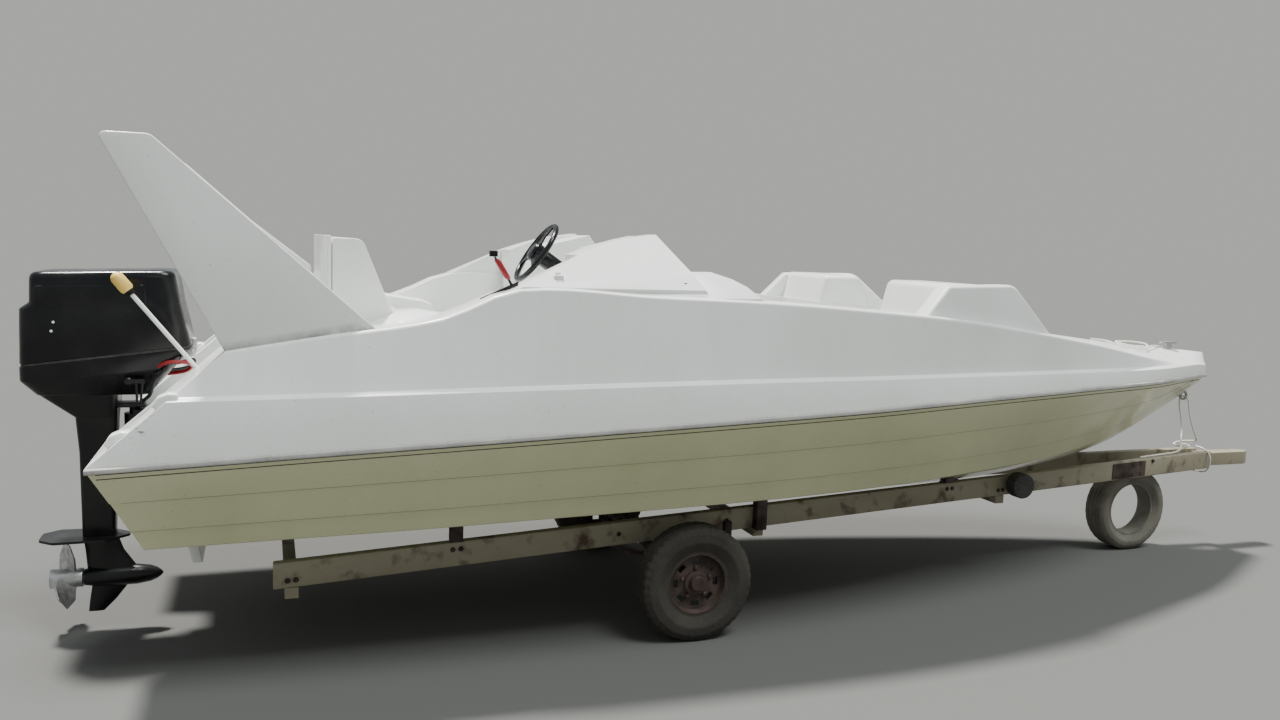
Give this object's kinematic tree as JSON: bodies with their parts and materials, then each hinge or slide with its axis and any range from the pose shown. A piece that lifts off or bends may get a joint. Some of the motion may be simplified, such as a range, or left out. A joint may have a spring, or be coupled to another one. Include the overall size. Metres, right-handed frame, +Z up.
{
  "type": "open speedboat on a road trailer",
  "caption": "Open fibreglass speedboat with swept stern fins, twin dash pods and an outboard motor, parked on its road trailer.",
  "frame": {"origin": "on the ground below the middle of boat and trailer", "axes": "+X towards the bow, +Y to port, +Z up"},
  "size_m": [7.752, 2.3322, 2.353],
  "materials": {
    "white_gelcoat": "aged gloss gelcoat",
    "cream_gelcoat": "aged gloss gelcoat",
    "rail_rubber": "weathered",
    "black_plastic": "satin",
    "black_paint": "satin black paint over cast aluminium",
    "aluminium": "dull",
    "steel": "dull",
    "yellow_lens": "yellowed",
    "trailer_steel": "old cream paint over rusted steel",
    "rusty_steel": "rusted",
    "black_rubber": "dull",
    "tyre": "old and dusty",
    "old_rope": "weathered",
    "engine_block": "dull"
  },
  "bodies": {
    "root": {"hull": "cream_gelcoat", "deck": "white_gelcoat", "rub_rail": "rail_rubber", "transom_board": "white_gelcoat", "fin_port": "white_gelcoat", "fin_starboard": "white_gelcoat", "rear_seat_back": "white_gelcoat", "rear_bench": "white_gelcoat", "console_port": "white_gelcoat", "console_starboard": "white_gelcoat", "pod_port": "white_gelcoat", "pod_starboard": "white_gelcoat", "bow_block_port": "white_gelcoat", "bow_block_starboard": "white_gelcoat", "bow_wing_port": "white_gelcoat", "bow_wing_starboard": "white_gelcoat", "forward_benches": "white_gelcoat", "steering_boss": "black_plastic", "throttle": "black_plastic", "bow_cleat": "aluminium", "bow_eye": "steel", "stern_light_pole": "aluminium", "stern_light_lens": "yellow_lens", "trailer_rail_port": "trailer_steel", "trailer_rail_starboard": "trailer_steel", "trailer_crossbars": "trailer_steel", "coupler": "trailer_steel", "hull_supports": "rusty_steel", "bow_rollers": "black_rubber", "axle": "rusty_steel", "leaf_springs": "rusty_steel", "jockey_tyre": "tyre", "clamp_bracket": "black_paint", "bow_line": "old_rope", "deck_rope": "old_rope"},
    "swivel": {"swivel_bracket": "black_paint"},
    "outboard": {"steering_yoke": "black_paint", "midsection": "black_paint", "lower_pan": "black_plastic", "cowl": "black_plastic", "powerhead": "engine_block", "gearcase": "black_paint"},
    "propeller": {"propeller": "aluminium"},
    "helm": {"steering_wheel": "black_plastic"},
    "wheel_port": {"tyre_port": "tyre", "rim_port": "rusty_steel"},
    "wheel_starboard": {"tyre_starboard": "tyre", "rim_starboard": "rusty_steel"}
  },
  "joints": [
    {"name": "outboard_tilt", "type": "hinge", "parent": "root", "child": "swivel", "pos_m": [-3.314, 0, 1.085], "axis": [0, 1, 0], "range_deg": [0, 60]},
    {"name": "outboard_steer", "type": "hinge", "parent": "swivel", "child": "outboard", "pos_m": [-3.414, 0, 0.935], "axis": [0, 0, 1], "range_deg": [-30, 30]},
    {"name": "propeller_spin", "type": "hinge", "parent": "outboard", "child": "propeller", "pos_m": [-3.724, 0, 0.27], "axis": [1, 0, 0], "continuous": true},
    {"name": "helm_turn", "type": "hinge", "parent": "root", "child": "helm", "pos_m": [-1.534, -0.45, 1.923], "axis": [0.829, 0, -0.5592], "range_deg": [-540, 540]},
    {"name": "wheel_port_spin", "type": "hinge", "parent": "root", "child": "wheel_port", "pos_m": [-0.769, 0.83, 0.296], "axis": [0, 1, 0], "continuous": true},
    {"name": "wheel_starboard_spin", "type": "hinge", "parent": "root", "child": "wheel_starboard", "pos_m": [-0.769, -0.83, 0.296], "axis": [0, 1, 0], "continuous": true}
  ],
  "couplings": [
    {"joint": "helm_turn", "follows": "outboard_steer", "ratio": 18}
  ]
}
